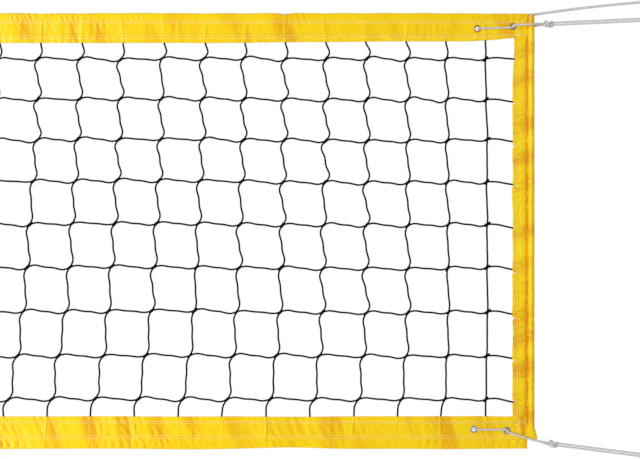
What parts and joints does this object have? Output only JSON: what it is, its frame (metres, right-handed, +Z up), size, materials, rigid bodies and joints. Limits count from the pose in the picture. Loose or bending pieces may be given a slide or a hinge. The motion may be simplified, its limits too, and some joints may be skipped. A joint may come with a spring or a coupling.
{
  "type": "volleyball net",
  "caption": "Yellow-bound beach volleyball net of black square mesh, with a side pole in each end sleeve and white ropes laced through the eyelets at its corners.",
  "frame": {"origin": "middle of the net's top edge, halfway through its thickness", "axes": "+X along the net, to the right as the picture shows it; +Y to the net's back; +Z up"},
  "size_m": [9.169, 0.0355, 1.1],
  "materials": {
    "net_cord": "knotted polyethylene cord",
    "band_cloth": "satin coated cloth",
    "top_eyelet_metal": "pressed brass",
    "bottom_eyelet_metal": "nickel plated",
    "pole_tube": "glass fibre",
    "cap_rubber": "moulded",
    "rope": "braided"
  },
  "bodies": {
    "net": {"mesh_upright_cords": "net_cord", "mesh_level_cords": "net_cord", "top_band": "band_cloth", "bottom_band": "band_cloth", "side_band_right": "band_cloth", "side_band_left": "band_cloth", "top_eyelets": "top_eyelet_metal", "top_eyelet_washers": "top_eyelet_metal", "bottom_eyelets": "bottom_eyelet_metal", "bottom_eyelet_washers": "bottom_eyelet_metal", "top_cable": "rope", "top_rope_right": "rope", "top_rope_left": "rope", "bottom_rope_right": "rope", "bottom_rope_left": "rope", "top_knot_right": "rope", "top_knot_left": "rope", "bottom_knot_right": "rope", "bottom_knot_left": "rope", "cable_tail_right": "rope", "cable_tail_left": "rope", "cable_knot_right": "rope", "cable_knot_left": "rope"},
    "right_pole": {"side_pole_right": "pole_tube", "pole_caps_right": "cap_rubber"},
    "left_pole": {"side_pole_left": "pole_tube", "pole_caps_left": "cap_rubber"}
  },
  "joints": [
    {"name": "right_pole_slide", "type": "slide", "parent": "net", "child": "right_pole", "axis": [0, 0, 1], "range_m": [0, 0.9]},
    {"name": "left_pole_slide", "type": "slide", "parent": "net", "child": "left_pole", "axis": [0, 0, 1], "range_m": [0, 0.9]}
  ]
}
